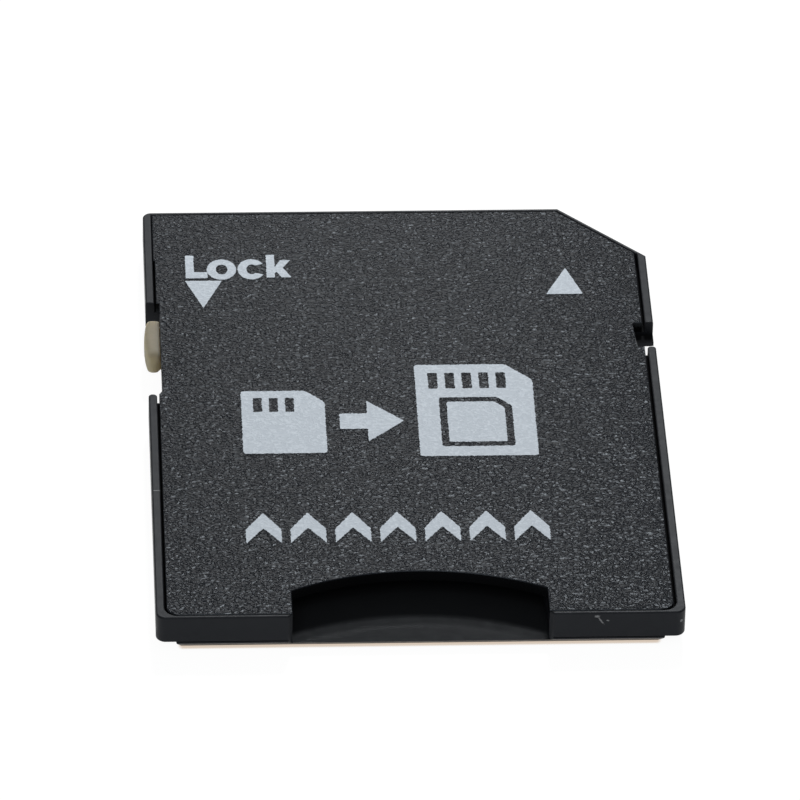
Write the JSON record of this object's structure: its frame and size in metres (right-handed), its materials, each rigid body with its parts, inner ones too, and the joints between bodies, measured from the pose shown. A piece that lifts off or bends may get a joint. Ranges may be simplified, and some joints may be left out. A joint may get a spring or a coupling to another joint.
{
  "type": "memory card adapter",
  "caption": "Full-size memory card adapter with a slot for a small card in its rear end, a write-protect slider and gold contact pads.",
  "frame": {"origin": "centre of the card's outline, on the plane of the contact-side land that it rests on", "axes": "+Z out of the label side, +Y towards the contact end, +X towards the side with the cut corner"},
  "size_m": [0.0241, 0.032, 0.0021],
  "materials": {
    "grained_plastic": "black moulded plastic with a fine eroded grain and white printed marks",
    "shell_plastic": "smooth black moulded plastic with a slight gloss",
    "slider_plastic": "cream moulded plastic, satin",
    "spring_steel": "rolled stainless spring strip",
    "gold_plating": "thin gold plating on stamped copper alloy",
    "white_ink": "white pad-printed ink on the grain of the cover"
  },
  "bodies": {
    "adapter": {"contact_shell": "shell_plastic", "label_shell": "grained_plastic", "detent_spring": "spring_steel", "terminal_data_2": "gold_plating", "terminal_data_3": "gold_plating", "terminal_command": "gold_plating", "terminal_ground": "gold_plating", "terminal_supply": "gold_plating", "terminal_clock": "gold_plating", "terminal_data_0": "gold_plating", "terminal_data_1": "gold_plating"},
    "write_protect_switch": {"lock_slider": "slider_plastic"}
  },
  "joints": [
    {"name": "write_protect_slide", "type": "slide", "parent": "adapter", "child": "write_protect_switch", "axis": [0, -1, 0], "range_m": [0, 0.0021]}
  ]
}
